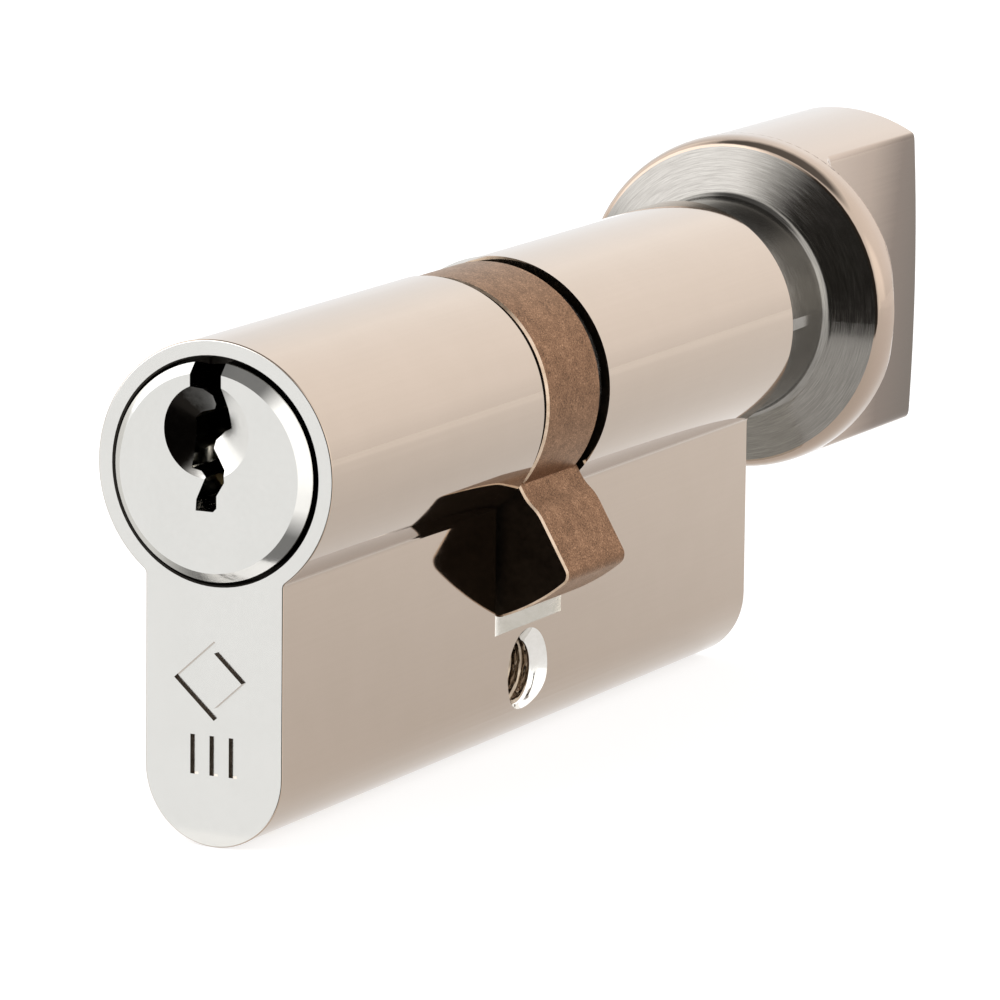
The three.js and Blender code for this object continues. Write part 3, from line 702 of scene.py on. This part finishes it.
def knob_section(radius, half=None):
    """The knob's outline in (x, z) at one radius, with flats at x = +-half unless half is left out."""
    corner = LEAST_CORNER
    if half:
        corner = max(corner, math.degrees(math.acos(min(1.0, half / radius))))
    dense = min(PADDLE_DENSE, corner / 2)
    start = corner + dense
    quarter = [(corner - dense) * i / 8 for i in range(8)]
    quarter += [corner - dense + 2 * dense * i / 6 for i in range(6)]
    quarter += [start + (90 - start) * i / 20 for i in range(21)]

    def reach(angle):
        """The outline's distance from the axis, with the corner between round and flat eased."""
        if not half:
            return radius
        far = 4 * radius
        wall = min(half / math.cos(math.radians(angle)), far) if angle < 89 else far
        gap = max(0.0, PADDLE_SOFTNESS - abs(radius - wall)) / PADDLE_SOFTNESS
        return min(radius, wall) - gap * gap * PADDLE_SOFTNESS / 4

    points = [(reach(a), a) for a in quarter]
    turns = points + [(r, 180 - a) for r, a in reversed(points[:-1])]
    turns += [(r, 180 + a) for r, a in points[1:]] + [(r, 360 - a) for r, a in reversed(points[1:-1])]
    return [(r * math.cos(math.radians(a)), r * math.sin(math.radians(a))) for r, a in turns]


def dome_y(x, z):
    """Where the domed end of the knob stands above (x, z)."""
    return KNOB_END_Y - KNOB_DOME_R + math.sqrt(KNOB_DOME_R**2 - x * x - z * z)


def moved_in(outline, inset):
    """A convex outline moved inwards by inset along each corner's normal."""
    made = []
    for i, (x, z) in enumerate(outline):
        (ax, az), (bx, bz) = outline[i - 1], outline[(i + 1) % len(outline)]
        nx, nz = bz - az, ax - bx
        size = math.hypot(nx, nz)
        made.append((x - inset * nx / size, z - inset * nz / size))
    return made


def hub_and_collar():
    """The knob's round part as (radius, y), from inside the shaft's bore out to the collar's rim."""
    eased = 0.3 * HUB_EDGE  # how far the middle of the hub's rounded end stands in from its corner
    rows = [
        (SHAFT_BORE_R, SHAFT_BORE_END_Y), (SHAFT_BORE_R, KNOB_START_Y + SHAFT_MOUTH_CHAMFER),
        (SHAFT_BORE_R + SHAFT_MOUTH_CHAMFER, KNOB_START_Y), (HUB_R - HUB_EDGE, KNOB_START_Y),
        (HUB_R - eased, KNOB_START_Y + eased), (HUB_R, KNOB_START_Y + HUB_EDGE),
    ]
    for a in range(0, 91, 15):  # hollow fillet where the hub meets the collar
        turn = math.radians(a)
        y = COLLAR_START_Y - HUB_FILLET * (1 - math.sin(turn))
        rows.append((HUB_R + HUB_FILLET * (1 - math.cos(turn)), y))
    for a in range(0, 91, 10):  # the collar's rounded rim
        turn = math.radians(a)
        y = RIM_Y - (RIM_Y - COLLAR_FACE_Y) * math.cos(turn)
        rows.append((COLLAR_FACE_R + (KNOB_R - COLLAR_FACE_R) * math.sin(turn), y))
    return rows


def shoulder_and_flats():
    """How each flat starts, as (half thickness, y): a rounded shoulder, then a hollow down to the flat."""
    rows = []
    for a in (0, 30, 60, 90):
        turn = math.radians(a)
        y = SHOULDER_Y - SHOULDER_ROUND * (1 - math.sin(turn))
        rows.append((KNOB_R - SHOULDER_ROUND * (1 - math.cos(turn)), y))
    for a in (0, 22, 45, 67, 90):
        turn = math.radians(a)
        y = SHOULDER_Y + PADDLE_FILLET * (1 - math.cos(turn))
        rows.append((PADDLE_HALF + PADDLE_FILLET * (1 - math.sin(turn)), y))
    return rows


def make_knob():
    loops = [[(x, y, z) for x, z in knob_section(r)] for r, y in hub_and_collar()]
    loops += [[(x, y, z) for x, z in knob_section(KNOB_R, half)] for half, y in shoulder_and_flats()]
    paddle = knob_section(KNOB_R, PADDLE_HALF)
    for a in (0, 22, 45, 67, 90):
        lift, inset = KNOB_EDGE * math.sin(math.radians(a)), KNOB_EDGE * (1 - math.cos(math.radians(a)))
        loops.append([(x, dome_y(x, z) - KNOB_EDGE + lift, z) for x, z in moved_in(paddle, inset)])
    rim = moved_in(paddle, KNOB_EDGE)
    for share in (0.85, 0.65, 0.45, 0.25, 0.08):
        loops.append([(x * share, dome_y(x * share, z * share), z * share) for x, z in rim])
    knob = skin("thumbturn_knob", loops)
    ends = -HUB_R - PAST, -SHAFT_BORE_R + GRUB_HOLE_LAP
    combine(knob, upright("grub hole", GRUB_HOLE_R, *ends, 0, GRUB_Y))
    return knob


# The first knob material carries painted shade on its flats.
knob_metals = [make_knob_nickel(), make_turned_nickel()]
PAINTED_SHADE_PADDLE, LATHE_TURNED = range(len(knob_metals))


def knob_finish(centre, normal):
    """The hub and the collar's face keep their tool marks."""
    return LATHE_TURNED if centre.y < COLLAR_FACE_Y else PAINTED_SHADE_PADDLE


finish_piece(make_knob(), "turn_knob", "thumbturn", knob_metals, knob_finish)

# ---------------------------------------------------------------------------------------------------------
# CAD pieces that keep their shape

kept = {
    "turn_spindle": brass, "clutch": steel, "clutch_spring": wire, "knob_grub_screw": steel,
    "plug_circlip": wire, "spindle_circlip": wire,
}
for side in ("left", "right"):
    kept |= {f"body_drill_pin_{side}": steel, f"plug_drill_pin_{side}": steel}
for i in range(1, PIN_COUNT + 1):
    kept |= {f"key_pin_{i}": brass, f"driver_pin_{i}": steel}
    kept |= {f"pin_spring_{i}": wire, f"chamber_plug_{i}": brass}
for name, material in kept.items():
    for kept_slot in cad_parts[name].material_slots:
        kept_slot.material = material

# ---------------------------------------------------------------------------------------------------------
# Studio


def make_floor():
    """A white light table that reaches from just ahead of the keyed face to the horizon."""
    reach, front = FLOOR_REACH, FLOOR_FRONT_Y
    outline = [(-reach, front), (reach, front), (reach, reach), (-reach, reach)]
    mesh = bpy.data.meshes.new("floor")
    mesh.from_pydata([Vector((x, y, LEG_FOOT_Z)) * MM for x, y in outline], [], [(0, 1, 2, 3)])
    floor = bpy.data.objects.new("floor", mesh)
    bpy.context.scene.collection.objects.link(floor)
    made, tree, shader = new_material("pale floor")
    tone = spread(tree, noise(tree, place(tree, (6, 6, 6)), detail=1.0), 0.38, 0.42)
    tree.links.new(ramp(tree, tone, [(0, (0, 0, 0)), (1, (1, 1, 1))]), shader.inputs["Base Color"])
    shader.inputs["Roughness"].default_value = 0.9
    shader.inputs["Specular IOR Level"].default_value = 0.1
    shader.inputs["Emission Color"].default_value = (1.0, 1.0, 1.0, 1.0)
    # Painted shade round the object: the glow is 0.73 within 50 mm of the cam slot's middle and rises to
    # 0.96 at half a metre.
    away = vector_math(tree, "LENGTH", coordinates(tree, "Object"))
    tree.links.new(spread(tree, away, 0.73, 0.96, 0.05, 0.5), shader.inputs["Emission Strength"])
    mesh.materials.append(made)


def make_world():
    """Soft light from all round, with a dark ceiling, a dark room in front and a lamp up to the left."""
    world = bpy.data.worlds.new("studio")
    world.use_nodes = True
    tree = world.node_tree
    backing = tree.nodes["Background"]
    direction = coordinates(tree, "Generated")
    parts = parts_of(tree, direction)
    # how bright it is from front to back, from left to right and from bottom to top
    depth = ramp(tree, spread(tree, parts["Y"], 0, 1, -1, 1), [(0.4, (0.95, 0.95, 0.95)), (0.85, (1, 1, 1))])
    across = ramp(tree, spread(tree, parts["X"], 0, 1, -1, 1), [
        (0.28, (0.8, 0.81, 0.82)), (0.42, (1, 1, 1)), (0.91, (1, 1, 1)), (0.96, (1.3, 1.3, 1.28)),
    ])
    height = ramp(tree, spread(tree, parts["Z"], 0, 1, -1, 1), [
        (0.1, (0.15, 0.15, 0.15)), (0.24, (0.82, 0.82, 0.82)), (0.5, (0.82, 0.82, 0.82)),
        (0.57, (0.93, 0.93, 0.93)), (0.7, (1, 1, 1)), (0.86, (1, 1, 1)), (0.94, (0.15, 0.15, 0.15)),
    ])
    # the room is an ellipse, higher than it is wide
    offset = vector_math(tree, "SUBTRACT", direction, (0.22, -0.95, 0.0))
    shaped = vector_math(tree, "MULTIPLY", offset, (1.0, 1.0, 0.6))
    lit = ramp(tree, vector_math(tree, "LENGTH", shaped), [(0.36, (0.032, 0.03, 0.027)), (0.54, (1, 1, 1))])
    from_lamp = vector_math(tree, "DISTANCE", direction, (-0.62, -0.65, 0.38))
    lamp = ramp(tree, from_lamp, [(0.32, (2.4, 2.4, 2.42)), (0.48, (1, 1, 1))])
    for share in (depth, across, height, lamp):
        lit = vector_math(tree, "MULTIPLY", lit, share)
    tree.links.new(lit, backing.inputs["Color"])
    backing.inputs["Strength"].default_value = 1.65
    bpy.context.scene.world = world


def make_softbox():
    """A faint square light high on the left, facing the object."""
    data = bpy.data.lights.new("left softbox", "AREA")
    data.energy, data.size = 1.0, SOFTBOX_SIZE * MM
    light = bpy.data.objects.new("left softbox", data)
    light.location = Vector(SOFTBOX_PLACE) * MM
    light.rotation_euler = (-light.location).to_track_quat("-Z", "Y").to_euler()
    bpy.context.scene.collection.objects.link(light)


def make_camera():
    """The camera stands to the right of the keyed face and a little above the barrel."""
    azimuth, elevation = math.radians(CAMERA_AZIMUTH), math.radians(CAMERA_ELEVATION)
    flat = math.cos(elevation)
    back = Vector((math.sin(azimuth) * flat, -math.cos(azimuth) * flat, math.sin(elevation)))
    right = (-back).cross(Vector((0, 0, 1))).normalized()
    up = right.cross(-back)
    c, s = math.cos(math.radians(CAMERA_ROLL)), math.sin(math.radians(CAMERA_ROLL))
    turn = Matrix((right * c + up * s, up * c - right * s, back)).transposed()
    data = bpy.data.cameras.new("camera")
    data.lens, data.sensor_width = CAMERA_LENS, CAMERA_SENSOR
    data.clip_start, data.clip_end = 0.01, 10.0
    camera = bpy.data.objects.new("camera", data)
    camera.matrix_world = Matrix.Translation(Vector(CAMERA_PLACE) * MM) @ turn.to_4x4()
    bpy.context.scene.collection.objects.link(camera)
    bpy.context.scene.camera = camera


make_floor()
make_world()
make_softbox()
make_camera()
bpy.context.scene.view_settings.view_transform = "Standard"
